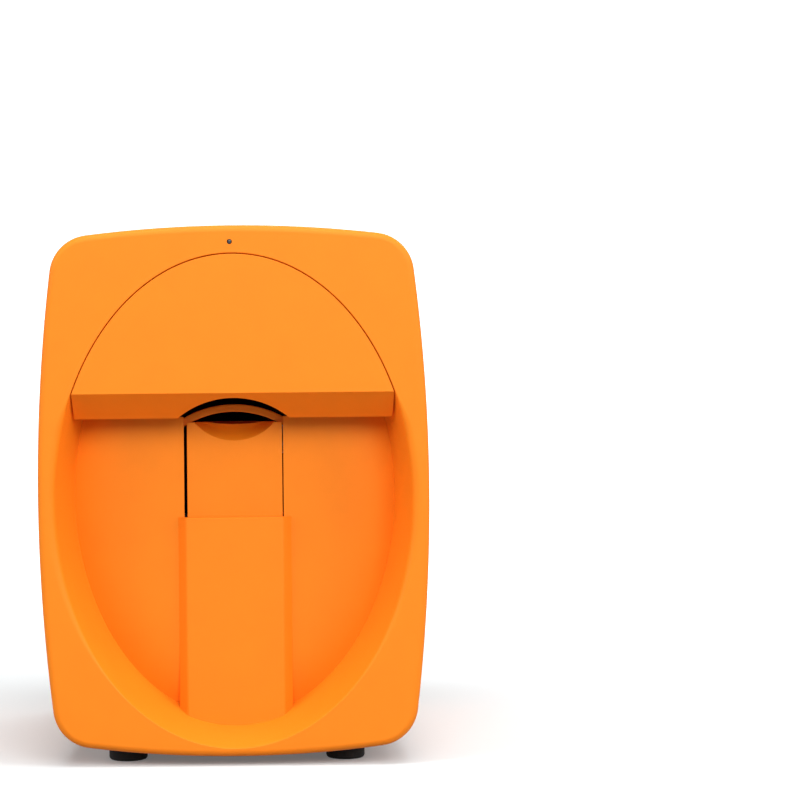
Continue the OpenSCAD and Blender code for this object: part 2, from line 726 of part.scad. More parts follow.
// Arched lip over the finger opening, with cheeks and ears behind the back wall
module finger_tunnel() color(orange) {
    y0 = y_bowl + wall;
    cheek = rest_w / 2 + 2;
    cheek_t = 4;
    cheek_h = 16;
    slab(y0 + 0.2, y0 + lip_d) intersection() {
        difference() {
            translate([0, lip_z - lip_r]) circle(r = lip_r + lip_t, $fn = 180);
            translate([0, lip_z - lip_r]) circle(r = lip_r, $fn = 180);
        }
        translate([fit - cheek - cheek_t, rest_top - cheek_h])
            square([2 * (cheek + cheek_t - fit), cheek_h + lip_rise + lip_t + 1]);
    }
    both_sides() block([cheek, y0 + 0.2, rest_top - cheek_h], [cheek + cheek_t, y0 + lip_d, rest_top - 1]);
    both_sides() block([cheek + cheek_t - eps, y0, rest_top - cheek_h],
                       [cheek + cheek_t + 3.4, y0 + 1.5, rest_top - 6]);
}

// ---------------------------------------------------------------- print mechanism

module y_rod(s) color(steel) bar_y(y_ff, y_rb, s * rod_x, rod_z, y_rod_d);

module motor_body(x, z, y0) {
    h = motor_w / 2;
    slab(y0, y0 + motor_l) translate([x, z]) polygon([
        [-h, -h + 3], [-h + 3, -h], [h - 3, -h], [h, -h + 3],
        [h, h - 3], [h - 3, h], [-h + 3, h], [-h, h - 3]]);
}
shaft_d = 5;
shaft_in = 8;
module y_motor() color(black) difference() {
    motor_body(-rod_x, belt_z, y_rb);
    bar_y(y_rb - 1, y_rb + shaft_in + 1, -rod_x, belt_z, shaft_d + 2 * run_gap);
}
module x_motor() color(black) difference() {
    motor_body(-pulley_x, belt_z, block_back);
    bar_y(y_beam, block_back + shaft_in + 1, -pulley_x, belt_z, shaft_d + 2 * run_gap);
}

coupler_d = 10;
module lead_screw() color(steel) {
    bar_y(y_ff, y_fb + 1, -rod_x, belt_z, screw_d - 2);
    bar_y(y_fb + 0.5, y_rf - 17, -rod_x, belt_z, screw_d);
    bar_y(y_rf - 18, y_rf - 2, -rod_x, belt_z, coupler_d);
    bar_y(y_rf - 3, y_rb + shaft_in, -rod_x, belt_z, shaft_d);
}

nut_wall = 3.4;
module screw_nut() color(brass) difference() {
    union() {
        bar_y(block_front, gy + 6, -rod_x, belt_z, screw_d + nut_wall);
        bar_y(block_front - 3.5, block_front, -rod_x, belt_z, screw_d + 9);
    }
    bar_y(gy - 20, y_rf, -rod_x, belt_z, screw_d + 2 * run_gap);
}

module gantry_frame() color(black) difference() {
    union() {
        both_sides() block([block_in, block_front, block_low], [block_out, block_back, block_top]);
        block([-block_in - eps, y_beam, x_rod_low - 4], [block_in + eps, block_back, block_top]);
    }
    for (z = [x_rod_low, x_rod_high]) bar_x(-block_out - 1, block_out + 1, gy, z, x_rod_d);
    both_sides() bar_y(gy - 20, y_rf, rod_x, rod_z, y_bush_d);
    bar_y(gy - 20, y_rf, -rod_x, belt_z, screw_d + nut_wall);
    bar_y(y_beam - 1, y_rf, -pulley_x, belt_z, 12);
    bar_y(y_beam - 1, y_rf, pulley_x, belt_z, idler_d);
}

module bush_y(x, z, y0, y1, d_out, d_in) difference() {
    bar_y(y0, y1, x, z, d_out);
    bar_y(y0 - 1, y1 + 1, x, z, d_in);
}
module gantry_bushes() color(brass) for (s = [-1, 1]) {
    bush_y(s * rod_x, rod_z, block_front, block_front + bush_l, y_bush_d, y_rod_d + 2 * run_gap);
    bush_y(s * rod_x, rod_z, block_back - bush_l, block_back, y_bush_d, y_rod_d + 2 * run_gap);
}

module x_rod(z) color(steel) bar_x(-block_out, block_out, gy, z, x_rod_d);

// Two half rings joined by two straight runs
module belt_loop(r) {
    for (s = [-1, 1]) translate([s * pulley_x, belt_z]) circle(r = r);
    translate([-pulley_x, belt_z - r]) square([2 * pulley_x, 2 * r]);
}
module x_belt() color(black) slab(y_belt, y_belt + belt_w) difference() {
    belt_loop(belt_in + belt_t);
    belt_loop(belt_in);
}

module pulley(x, bore) {
    difference() {
        union() {
            bar_y(y_belt - 1, y_belt + belt_w + 1, x, belt_z, 2 * pulley_r);
            bar_y(y_belt - 1.1, y_belt - fit, x, belt_z, 2 * pulley_flange_r);
            bar_y(y_belt + belt_w + fit, y_belt + belt_w + 1.1, x, belt_z, 2 * pulley_flange_r);
        }
        if (bore > 0) bar_y(y_belt - 5, y_beam + 1, x, belt_z, bore);
        // tooth gaps round the pulley
        for (a = [0:20:359]) translate([x, 0, belt_z]) rotate([0, a, 0])
            block([pulley_r - 0.5, y_belt + 0.5, -0.5], [pulley_r + 0.1, y_belt + belt_w - 0.5, 0.5]);
    }
}
module drive_pulley() color(steel) {
    pulley(-pulley_x, 0);
    bar_y(y_belt + belt_w, block_back + shaft_in, -pulley_x, belt_z, shaft_d);
}
idler_d = 4;
module idler_pulley() color(steel) pulley(pulley_x, idler_d + 2 * run_gap);
module idler_shaft() color(steel) {
    bar_y(y_belt - 1.8, block_back, pulley_x, belt_z, idler_d);
    bar_y(y_belt - 2.6, y_belt - 1.4, pulley_x, belt_z, 6.5);
}

ear_x = latch_w / 2 + ear_t / 2 + 0.5;
module carriage_frame() color(black) {
    x0 = cx - holder_w / 2;
    x1 = cx + holder_w / 2;
    inner = cart_w / 2 + holder_gap;
    difference() {
        union() {
            block([x0, gy - 9.5, cart_z + 14], [x1, gy - 6, x_rod_high + 8]);
            for (z = [x_rod_low, x_rod_high]) block([x0, gy - 7, z - 6.5], [x1, gy + 6, z + 6.5]);
            // clamp that holds the lower run of the belt
            block([cx - 4, gy + 5, belt_z - 3.4], [cx + 4, y_belt + belt_w, belt_z + 3]);
            block([cx - 4, gy + 5, belt_z - belt_in + 0.1], [cx + 4, y_belt + belt_w, belt_z - 3]);
        }
        for (z = [x_rod_low, x_rod_high]) bar_x(x0 - 1, x1 + 1, gy, z, x_bush_d);
    }
    // holder for the cartridge
    for (w = [-1, 1]) block([cx + w * (inner + holder_t / 2) - holder_t / 2, cart_front - 3, cart_z - 2],
                            [cx + w * (inner + holder_t / 2) + holder_t / 2, gy - 6, cart_z + 20]);
    block([cx - inner - 0.1, cart_front - 3, cart_z - 2], [cx + inner + 0.1, cart_front - 0.4, cart_z + 6]);
    for (w = [-1, 1]) block([cx + w * 14 - 3.2, cart_front - 1, cart_z - 2],
                            [cx + w * 14 + 3.2, gy - 6, cart_z]);
    // ears for the latch
    difference() {
        for (w = [-1, 1]) block([cx + w * ear_x - ear_t / 2, latch_y - 4, latch_z - 5],
                                [cx + w * ear_x + ear_t / 2, latch_y + 3.5, latch_z + 4]);
        bar_x(x0 - 1, x1 + 1, latch_y, latch_z, latch_pin_d);
    }
}

module carriage_bushes() color(brass) for (z = [x_rod_low, x_rod_high], w = [-1, 1]) difference() {
    x = cx + w * (holder_w / 2 - 5);
    bar_x(x - 5, x + 5, gy, z, x_bush_d);
    bar_x(x - 6, x + 6, gy, z, x_rod_d + 2 * run_gap);
}

module latch_pin() color(steel)
    bar_x(cx - ear_x - ear_t / 2, cx + ear_x + ear_t / 2, latch_y, latch_z, latch_pin_d);

module cartridge_latch() color("#3a6ea8") difference() {
    // hub, plate, pad on the cartridge and thumb tab
    union() {
        bar_x(cx - latch_w / 2, cx + latch_w / 2, latch_y, latch_z, latch_pin_d + 4);
        block([cx - latch_w / 2, latch_y - 18, latch_z - 3.5], [cx + latch_w / 2, latch_y, latch_z]);
        block([cx - 12, latch_y - 16, cart_z + cart_h + fit], [cx + 12, latch_y - 8, latch_z - 3]);
        block([cx - 6, latch_y - 20, latch_z - 2.5], [cx + 6, latch_y - 17, latch_z]);
    }
    bar_x(cx - latch_w, cx + latch_w, latch_y, latch_z, latch_pin_d + 2 * run_gap);
}

module ink_cartridge() color(black) {
    block([cx - cart_w / 2, cart_front, cart_z], [cx + cart_w / 2, cart_front + cart_d, cart_z + cart_h]);
    block([cx - 9.5, head_y - 9, head_z], [cx + 9.5, head_y + 9, cart_z + eps]);
    block([cx - cart_w / 2 + 4, cart_front - 0.4 + eps, cart_z + cart_h - 14],
          [cx + cart_w / 2 - 4, cart_front + eps, cart_z + cart_h - 3]);
}

// Capping station under the parked print head
cap_w = 24;
shelf_in = 18;
shelf_plate = 2;
pad_h = 5;
wiper_x = 15;
wiper_t = 1.4;
wiper_l = 20;
wiper_h = 9;
module service_bracket() color(steel) {
    z = head_z - 24;
    block([cx - 16, head_y - shelf_in, z], [frame_x - plate_t, head_y + shelf_in, z + shelf_plate]);
    block([frame_x - plate_t - 1.5, head_y - shelf_in, z - 10],
          [frame_x - plate_t, head_y + shelf_in, z + 12]);
    // posts of the cap and of the wiper
    block([cx - cap_w / 2 + 1, head_y - wiper_l / 2, z + shelf_plate - eps],
          [cx + cap_w / 2 - 1, head_y + wiper_l / 2, head_z - pad_h]);
    block([cx - wiper_x, head_y - wiper_l / 2, z + shelf_plate - eps],
          [cx - wiper_x + wiper_t, head_y + wiper_l / 2, head_z - wiper_h]);
}
module cap_pad() color(black) difference() {
    block([cx - cap_w / 2, head_y - 11, head_z - pad_h], [cx + cap_w / 2, head_y + 11, head_z - fit]);
    block([cx - cap_w / 2 + 3, head_y - 8, head_z - 3], [cx + cap_w / 2 - 3, head_y + 8, head_z]);
}
module wiper_blade() color(black)
    block([cx - wiper_x, head_y - wiper_l / 2, head_z - wiper_h],
          [cx - wiper_x + wiper_t, head_y + wiper_l / 2, head_z - fit]);

// ---------------------------------------------------------------- electronics

// Main chip, memory and two driver chips: middle, height above the panel's foot, width, height, thickness
CHIPS = [[-1, 85, 22, 22, 2], [25, 84, 14, 12, 1.2], [-40, 80, 8, 8, 1.4], [-28, 80, 8, 8, 1.4]];
// Capacitors
CAP_X = [-44, -34, -24];
cap_up = 98;
cap_d = 7;
cap_h = 9;
module main_board() color(green) {
    y0 = y_board + board_t - eps;
    block([-board_w / 2, y_board, panel_z], [board_w / 2, y_board + board_t, panel_z + board_h]);
    for (c = CHIPS) block([c[0] - c[2] / 2, y0, panel_z + c[1] - c[3] / 2],
                          [c[0] + c[2] / 2, y0 + c[4], panel_z + c[1] + c[3] / 2]);
    for (x = CAP_X) bar_y(y0, y0 + cap_h, x, panel_z + cap_up, cap_d);
}

module power_inlet() color(black) difference() {
    block([inlet_x - 6, y_board + board_t, port_z - 6], [inlet_x + 6, y_rear - wall - 0.2, port_z + 6]);
    bar_y(y_rear - 14, y_rear, inlet_x, port_z, inlet_d);
}
module data_socket() color(steel) difference() {
    block([socket_x - 4.6, y_board + board_t, port_z - 1.7], [socket_x + 4.6, y_rear - 0.6, port_z + 1.7]);
    block([socket_x - 4.1, y_rear - 8, port_z - 1.2], [socket_x + 4.1, y_rear, port_z + 1.2]);
}
module power_switch() color(black) {
    block([button_x - 4, y_board + board_t, port_z - 4], [button_x + 4, y_board + board_t + 5, port_z + 4]);
    bar_y(y_board + board_t + 5 - eps, y_board + board_t + 6.5, button_x, port_z, 3.5);
}
module power_button() color(white) {
    bar_y(y_rear - wall - 0.5, y_rear, button_x, port_z, button_d);
    bar_y(y_rear - wall - 2, y_rear - wall - fit, button_x, port_z, button_d + 3);
    bar_y(y_board + board_t + 6.5 + button_travel + 0.2, y_rear - wall - 1.9, button_x, port_z, 4);
}

module status_light() color(black) bar_y(y_front + 0.3, y_front + wall, light_x, light_z, light_d);
module status_board() color(green)
    block([light_x - 6, y_front + wall, light_z - 2.2],
          [light_x + 6, y_front + wall + board_t, light_z + 3.4]);

cam_z = frame_top + 4;
module camera_module() color(green) difference() {
    union() {
        block([-14, y_fb, frame_top - 6], [14, y_fb + board_t, frame_top + 10]);
        block([-8, y_fb + board_t - eps, cam_z - 8], [8, y_fb + 7, cam_z + 6]);
    }
    bar_z(cam_z - 12, cam_z - 6, 0, y_fb + 4.3, camera_d);
}
module camera_lens() color(black)
    bar_z(cam_z - 12, cam_z - 6, 0, y_fb + 4.3, camera_d);

front_shell();
rear_shell();
rear_panel();
base_plate();
foot(-foot_x, y_foot_f);  // foot_front_left
foot(foot_x, y_foot_f);  // foot_front_right
foot(-foot_x, y_foot_r);  // foot_rear_left
foot(foot_x, y_foot_r);  // foot_rear_right
foot_screws();
front_frame();
rear_frame();
mirror([1, 0, 0]) side_frame();  // side_frame_left
side_frame();  // side_frame_right
y_rod(-1);  // y_rod_left
y_rod(1);  // y_rod_right
y_motor();
finger_tunnel();
finger_guide_bracket();
finger_rod(-1);  // finger_rod_left
finger_rod(1);  // finger_rod_right
finger_springs();
service_bracket();
cap_pad();
wiper_blade();
main_board();
power_inlet();
data_socket();
power_switch();
status_light();
status_board();
camera_module();
camera_lens();
hood_bracket(-1);  // hood_bracket_left
hood_bracket(1);  // hood_bracket_right
hood_pin(-1);  // hood_pin_left
hood_pin(1);  // hood_pin_right
hood();
hood_arm(-1);  // hood_arm_left
hood_arm(1);  // hood_arm_right
finger_rest();
finger_carrier();
finger_cradle();
gantry_frame();
gantry_bushes();
x_rod(x_rod_high);  // x_rod_upper
x_rod(x_rod_low);  // x_rod_lower
x_motor();
x_belt();
idler_shaft();
screw_nut();
drive_pulley();
idler_pulley();
lead_screw();
carriage_frame();
carriage_bushes();
latch_pin();
ink_cartridge();
cartridge_latch();
power_button();
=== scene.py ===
from math import atan2, cos, hypot, pi, radians, sin, sqrt

import bmesh
import bpy
from mathutils import Matrix, Vector


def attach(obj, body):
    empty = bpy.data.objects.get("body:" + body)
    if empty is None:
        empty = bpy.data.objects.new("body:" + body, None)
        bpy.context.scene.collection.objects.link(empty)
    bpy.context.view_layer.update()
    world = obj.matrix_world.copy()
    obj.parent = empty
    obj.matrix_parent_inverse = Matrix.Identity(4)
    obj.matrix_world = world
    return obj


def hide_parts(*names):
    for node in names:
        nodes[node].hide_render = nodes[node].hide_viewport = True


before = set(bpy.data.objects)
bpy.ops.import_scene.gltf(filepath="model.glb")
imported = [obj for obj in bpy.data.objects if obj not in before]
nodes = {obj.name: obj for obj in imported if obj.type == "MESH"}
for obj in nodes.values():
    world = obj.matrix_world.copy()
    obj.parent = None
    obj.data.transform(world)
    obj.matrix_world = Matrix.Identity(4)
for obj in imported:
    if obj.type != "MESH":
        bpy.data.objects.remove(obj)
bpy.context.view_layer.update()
scene = bpy.context.scene

# ------------------------------------------------------------ sizes, in millimetres
# They are the CAD part's own: X right, Y back, Z up, from the table under the middle.
MM = 0.001
WIDTH, LOW, TOP = 190.0, 4.5, 262.0
FRONT, BACK, SEAM_Y, SEAM = -116.0, 116.0, -72.0, 0.5
SIDE_R, TOP_R, BOTTOM_R, CORNER_R = 870.0, 590.0, 550.0, 20.0
EDGE_R, REAR_EDGE_R, TAPER, WALL = 3.5, 12.0, 2.0, 2.5
SIDE_C = (WIDTH / 2 - SIDE_R, (LOW + TOP) / 2)
TOP_C = (0.0, TOP - TOP_R)
BOTTOM_C = (0.0, LOW + BOTTOM_R)
# Bowl: half width, half height and middle of its front outline
BOWL_A, BOWL_B = WIDTH / 2 - 7.7, (TOP - LOW - 17.7) / 2
BOWL_Z = LOW + 4.2 + BOWL_B
# The back wall bulges forward from the crease at its edge
BOWL_DEPTH, BULGE, BULGE_W, DRAFT, RISE = 28.0, 4.5, 40.0, 7.9, 2.6
EDGE_DEPTH = BOWL_DEPTH + BULGE
BOWL_TOP = BOWL_Z + BOWL_B
BOWL_BACK = FRONT + BOWL_DEPTH
CREASE = FRONT + EDGE_DEPTH
FRAME_Y = CREASE + WALL + 0.5
BOWL_FLOOR = BOWL_Z + RISE - BOWL_B + DRAFT
# Hood, finger rest and pocket
HOOD_Z, BEVEL_H, BEVEL_D, HOOD_WALL = 180.6, 12.2, 14.0, 2.2
NOTCH_R, NOTCH_TOP = 43.0, 178.2
ARM_X, PIN_Y = 14.0, -110.0
ARM_SLOT_W, ARM_SLOT_BACK = 5.0, -94.6
HOOD_RIBS, RIB_T = (-60, -30, 30, 60), 1.6
SLOT_X, SLOT_W = -0.3, 49.3
REST_W, REST_T, REST_X = 47.2, 2.2, 0.2
REST_TOP, REST_LOW, POCKET_TOP = 166.3, 90.3, 119.3
REST_FRONT = BOWL_BACK + 0.3
# The finger's channel: place behind the rest's face, width and depth below the rest's top
CHANNEL = ((-1.0, 39.5, 9.2), (0.0, 39.5, 9.2), (8.0, 34.0, 4.4), (10.0, 27.4, 1.2), (41.7, 27.4, 1.2))
SCOOP_W, SCOOP_DEPTH = 39.5, 9.2
CRADLE_D, CRADLE_H = 42.0, 9.0
STEM_W, STEM_D, STEM_LOW = 15.0, 12.0, 115.3
SLOT_LOW, MOUTH_Z, WINDOW_IN = 72.3, 169.0, 9
POCKET_W, PROUD = 56.0, 4.0
POCKET_FOOT, POCKET_EASE = 3.6, 0.9
LIP_Z, LIP_R, LIP_T, LIP_D = 171.4, 46.6, 3.7, 12.0
LIP_HALF_TURN, LIP_STEPS = 0.63, 20
CHEEK_GAP, CHEEK_T, CHEEK_H, EAR_W, EAR_T = 2.0, 4.0, 15.0, 3.4, 1.5
# Bosses for the front frame and sockets for the foot screws
BOSS_X, BOSS_R, BOSSES = 48, 4.5, ((64.3, -84.8), (154.5, -86))
FOOT_SOCKET = ((0, 10), (5, 10), (5, 15.4), (0, 15.4))
# Rear panel and its ports
PANEL_W, PANEL_Z, PANEL_H = 120.0, 32.5, 62.0
PORT_Z, INLET_X, SOCKET_X, BUTTON_X, BUTTON_D = 63.5, -30.0, 8.0, 44.0, 12.0
LIGHT_X, LIGHT_Z, LIGHT_D = -0.9, 253.8, 2.3
AIR_SLOTS, AIR_FIRST, AIR_PITCH, AIR_W = 10, -49.5, 10, 3
AIR_LOW, AIR_HIGH = 44, 56
FOOT_X, FOOT_Y, FOOT_D, FOOT_SINK, SCREW_R = 53.7, 89.0, 19.0, 1.95, 2.2


# ------------------------------------------------------------ outlines in the front view
def crossing(c1, r1, c2, r2, way):
    """Where two circles cross, left (1) or right (-1) of the line from c1 to c2."""
    vx, vz = c2[0] - c1[0], c2[1] - c1[1]
    d = hypot(vx, vz)
    a = (r1 * r1 - r2 * r2 + d * d) / (2 * d)
    h = sqrt(r1 * r1 - a * a) * way
    return (c1[0] + (vx * a - vz * h) / d, c1[1] + (vz * a + vx * h) / d)


def heading(a, b):
    return atan2(b[1] - a[1], b[0] - a[0])


TOP_K = crossing(SIDE_C, SIDE_R - CORNER_R, TOP_C, TOP_R - CORNER_R, 1)
BOTTOM_K = crossing(SIDE_C, SIDE_R - CORNER_R, BOTTOM_C, BOTTOM_R - CORNER_R, -1)
ARCS = (
    (BOTTOM_C, BOTTOM_R, -pi / 2, heading(BOTTOM_C, BOTTOM_K), 26),
    (BOTTOM_K, CORNER_R, heading(BOTTOM_C, BOTTOM_K), heading(SIDE_C, BOTTOM_K), 16),
    (SIDE_C, SIDE_R, heading(SIDE_C, BOTTOM_K), heading(SIDE_C, TOP_K), 36),
    (TOP_K, CORNER_R, heading(SIDE_C, TOP_K), heading(TOP_C, TOP_K), 16),
    (TOP_C, TOP_R, heading(TOP_C, TOP_K), pi / 2, 26),
)
ROUND = 2 * sum(a[4] for a in ARCS)


def outline(y, inset):
    """The body's bowed outline at depth y, drawn in by an inset."""
    half = []
    for (cx, cz), r, a0, a1, n in ARCS:
        for i in range(n):
            a = a0 + (a1 - a0) * i / n
            half.append((cx + (r - inset) * cos(a), cz + (r - inset) * sin(a)))
    half.append((0.0, TOP - inset))
    half += [(-x, z) for x, z in half[-2:0:-1]]
    return [(x, y, z) for x, z in half]


def oval(y, inset, depth=None):
    """The bowl's oval at depth y: it draws in and rises on its way back."""
    f = (y - FRONT if depth is None else depth) / EDGE_DEPTH
    s = DRAFT * f + inset
    mid = BOWL_Z + RISE * f
    ring = []
    for i in range(ROUND):
        a = 2 * pi * i / ROUND - pi / 2
        ring.append(((BOWL_A - s) * cos(a), y, mid + (BOWL_B - s) * sin(a)))
    return ring


# ------------------------------------------------------------ making meshes
def loop(bm, points):
    """A closed loop of edges through the points."""
    verts = bmesh.ops.create_circle(bm, segments=len(points), radius=1)["verts"]
    for v, p in zip(verts, points):
        v.co = p
    return list({e for v in verts for e in v.link_edges})


def skin(rings, caps=(True, True)):
    """A mesh bridged from ring to ring, with its ends closed."""
    bm = bmesh.new()
    loops = [loop(bm, r) for r in rings]
    for a, b in zip(loops, loops[1:]):
        bmesh.ops.bridge_loops(bm, edges=a + b)
    for cap, edges in zip(caps, (loops[0], loops[-1])):
        if cap:
            bmesh.ops.edgeloop_fill(bm, edges=edges)
    bmesh.ops.recalc_face_normals(bm, faces=bm.faces)
    return bm


def box(low, high):
    """A box between two corners."""
    bm = bmesh.new()
    size = [h - l for l, h in zip(low, high)]
    mid = [(h + l) / 2 for l, h in zip(low, high)]
    bmesh.ops.create_cube(bm, size=1)
    bmesh.ops.scale(bm, vec=size, verts=bm.verts)
    bmesh.ops.translate(bm, vec=mid, verts=bm.verts)
    return bm


def prism(points, y0, y1):
    """A drawing in the front view, [(x, z)], made solid from y0 to y1."""
    return skin([[(x, y, z) for x, z in points] for y in (y0, y1)])


def side_prism(points, x0, x1):
    """A drawing in the side view, [(y, z)], made solid from x0 to x1."""
    return skin([[(x, y, z) for y, z in points] for x in (x0, x1)])


def disc(x, z, y0, y1, r, n=48):
    """A round bar along Y."""
    ring = [(x + r * cos(2 * pi * i / n), z + r * sin(2 * pi * i / n)) for i in range(n)]
    return prism(ring, y0, y1)


def turned(profile, axis, centre, steps=48):
    """A turned solid: profile is [(radius, place along the axis)], from axis to axis."""
    bm = bmesh.new()
    verts = [bm.verts.new((r, 0, t)) for r, t in profile]
    edges = [bm.edges.new(pair) for pair in zip(verts, verts[1:])]
    bmesh.ops.spin(bm, geom=verts + edges, axis=(0, 0, 1), cent=(0, 0, 0),
                   angle=2 * pi, steps=steps, use_merge=True, use_duplicate=False)
    bmesh.ops.remove_doubles(bm, verts=bm.verts, dist=1e-4)
    bmesh.ops.recalc_face_normals(bm, faces=bm.faces)
    turn = Vector((0, 0, 1)).rotation_difference(Vector(axis)).to_matrix().to_4x4()
    bmesh.ops.transform(bm, matrix=Matrix.Translation(centre) @ turn, verts=bm.verts)
    return bm


def ease(bm, width, angle=40, segments=3, where=None):
    """Rounds the edges sharper than an angle, all of them or those that `where` picks."""
    bm.normal_update()
    edges = [e for e in bm.edges if e.is_manifold and e.calc_face_angle(0) > radians(angle)
             and (where is None or all(where(v.co) for v in e.verts))]
    bmesh.ops.bevel(bm, geom=edges, offset=width, offset_type="OFFSET", segments=segments,
                    profile=0.5, affect="EDGES", clamp_overlap=True, material=-1)
    return bm


def join(*parts):
    """Several meshes as one."""
    whole = parts[0]
    for part in parts[1:]:
        mesh = bpy.data.meshes.new("part")
        part.to_mesh(mesh)
        part.free()
        whole.from_mesh(mesh)
        bpy.data.meshes.remove(mesh)
    return whole


def holder(bm, name="blank"):
    mesh = bpy.data.meshes.new(name)
    bm.to_mesh(mesh)
    bm.free()
    obj = bpy.data.objects.new(name, mesh)
    scene.collection.objects.link(obj)
    return obj


def carve(bm, tools, operation="DIFFERENCE"):
    """The solid with each tool cut out of it, or joined to it."""
    blank = holder(bm)
    for tool in tools:
        cutter = holder(tool)
        cut = blank.modifiers.new("cut", "BOOLEAN")
        cut.object, cut.operation, cut.solver = cutter, operation, "EXACT"
        graph = bpy.context.evaluated_depsgraph_get()
        mesh = bpy.data.meshes.new_from_object(blank.evaluated_get(graph))
        blank.modifiers.clear()
        blank.data = mesh
        bpy.data.objects.remove(cutter)
    out = bmesh.new()
    out.from_mesh(blank.data)
    bpy.data.objects.remove(blank)
    return out


def piece(bm, name, body, finish, stands_for, sharp=32):
    """Puts a finished mesh in the scene, in metres, riding on its body."""
    bmesh.ops.scale(bm, vec=(MM, MM, MM), verts=bm.verts)
    bm.normal_update()
    for face in bm.faces:
        face.smooth = True
    for edge in bm.edges:
        edge.smooth = not edge.is_manifold or edge.calc_face_angle(0) < radians(sharp)
    obj = holder(bm, name)
    obj.data.materials.append(finish)
    weigh = obj.modifiers.new("flat faces stay flat", "WEIGHTED_NORMAL")
    weigh.keep_sharp = True
    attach(obj, body)
    if stands_for:
        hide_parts(*stands_for)
    return obj


# ------------------------------------------------------------ finishes
def finish(name, colour, roughness, metallic=0.0, specular=0.5, shade=0.05, mottle=60, grain=1500,
           relief=0.02, gloss=0.06, stretch=(1, 1, 1)):
    """A moulded, drawn or plated finish: its colour drifts a little over `mottle`
    features a metre, and its surface carries a fine grain."""
    mat = bpy.data.materials.new(name)
    mat.use_nodes = True
    tree = mat.node_tree
    shader = tree.nodes["Principled BSDF"]
    shader.inputs["Metallic"].default_value = metallic
    shader.inputs["Specular IOR Level"].default_value = specular

    def add(kind, **values):
        node = tree.nodes.new(kind)
        for key, value in values.items():
            node.inputs[key].default_value = value
        return node

    def link(a, out, b, into):
        tree.links.new(a.outputs[out], b.inputs[into])

    place = add("ShaderNodeTexCoord")
    turn = add("ShaderNodeMapping", Scale=stretch)
    link(place, "Object", turn, "Vector")
    drift = add("ShaderNodeTexNoise", Scale=mottle, Detail=3.0, Roughness=0.55)
    fine = add("ShaderNodeTexNoise", Scale=grain, Detail=2.0, Roughness=0.6)
    link(turn, "Vector", drift, "Vector")
    link(turn, "Vector", fine, "Vector")
    tone = add("ShaderNodeMapRange")
    tone.inputs["From Min"].default_value, tone.inputs["From Max"].default_value = 0.3, 0.7
    link(drift, "Fac", tone, "Value")
    tint = tree.nodes.new("ShaderNodeMix")
    tint.data_type = "RGBA"
    tint.inputs["A"].default_value = [c * (1 - shade) for c in colour] + [1]
    tint.inputs["B"].default_value = [min(1, c * (1 + shade)) for c in colour] + [1]
    tree.links.new(tone.outputs["Result"], tint.inputs["Factor"])
    tree.links.new(next(o for o in tint.outputs if o.type == "RGBA"), shader.inputs["Base Color"])
    sheen = add("ShaderNodeMapRange")
    sheen.inputs["From Min"].default_value, sheen.inputs["From Max"].default_value = 0.25, 0.75
    sheen.inputs["To Min"].default_value = roughness - gloss
    sheen.inputs["To Max"].default_value = roughness + gloss
    link(fine, "Fac", sheen, "Value")
    link(sheen, "Result", shader, "Roughness")
    bump = add("ShaderNodeBump", Strength=1.0, Distance=relief * MM)
    link(fine, "Fac", bump, "Height")
    link(bump, "Normal", shader, "Normal")
    return mat


orange = finish("satin orange moulding", (0.96, 0.243, 0.007), 0.57, specular=0.25, shade=0.02)
black = finish("textured black moulding", (0.014, 0.014, 0.015), 0.55, specular=0.3, shade=0.2)
rubber = finish("black rubber", (0.016, 0.015, 0.015), 0.8, specular=0.3, shade=0.25, grain=900)
grey = finish("pale grey key", (0.6, 0.6, 0.58), 0.42, shade=0.03)
blue = finish("blue latch moulding", (0.04, 0.14, 0.36), 0.4, shade=0.05)
ground_steel = finish("ground steel", (0.62, 0.63, 0.65), 0.22, metallic=1.0, shade=0.03,
                      grain=2500, relief=0.004)
# Painted shade: the frames inside the housing get this near-black coat so that what shows through the
# rest's slot and the finger opening stays dark, standing in for the shade in there.
dark_coat_and_painted_shade = finish("black coat with painted interior shade", (0.012, 0.012, 0.013), 0.6, specular=0.25, shade=0.3, grain=900)
plated = finish("zinc plated sheet", (0.6, 0.62, 0.64), 0.36, metallic=1.0, shade=0.12, mottle=220,
                relief=0.008)
brass = finish("turned brass", (0.76, 0.52, 0.2), 0.26, metallic=1.0, shade=0.05, relief=0.006)
board = finish("green circuit board", (0.01, 0.13, 0.055), 0.34, shade=0.35, mottle=420)
lens = finish("smoked lens", (0.006, 0.006, 0.008), 0.12, shade=0.1, relief=0.001)
SLOTS = {"orange_plastic": orange, "black_plastic": black, "grey_plastic": grey,
         "blue_plastic": blue, "black_rubber": rubber, "steel": ground_steel,
         "black_sheet": dark_coat_and_painted_shade, "plated_sheet": plated, "brass": brass, "circuit_board": board}
for name, node in nodes.items():
    for slot in node.material_slots:
        slot.material = SLOTS.get(slot.material.name.split(".")[0], slot.material) \
            if slot.material else black


# ------------------------------------------------------------ housing
def smooth(v, a, b):
    t = min(1, max(0, (v - a) / (b - a)))
    return t * t * (3 - 2 * t)


def lip_round(z):
    """Rounding of the bowl's front edge: soft at the sides, crisp at the hood and below."""
    return 0.3 + 3.4 * smooth(z, 183, 160) * smooth(z, 15, 110)


def bowl_edge(t):
    """A ring of the bowl's rounded front edge, from the face (t 0) to the wall (t 1)."""
    flat, wall = oval(FRONT, 0, 0), []
    for i, (x, y, z) in enumerate(flat):
        r = lip_round(z)
        f = r / EDGE_DEPTH
        a = 2 * pi * i / ROUND - pi / 2
        out = (x + r * cos(a), FRONT, z + r * sin(a))
        s = DRAFT * f
        into = ((BOWL_A - s) * cos(a), FRONT + r, BOWL_Z + RISE * f + (BOWL_B - s) * sin(a))
        wall.append(tuple((1 - t) ** 2 * o + 2 * t * (1 - t) * c + t * t * w
                          for o, c, w in zip(out, (x, y, z), into)))
    return wall


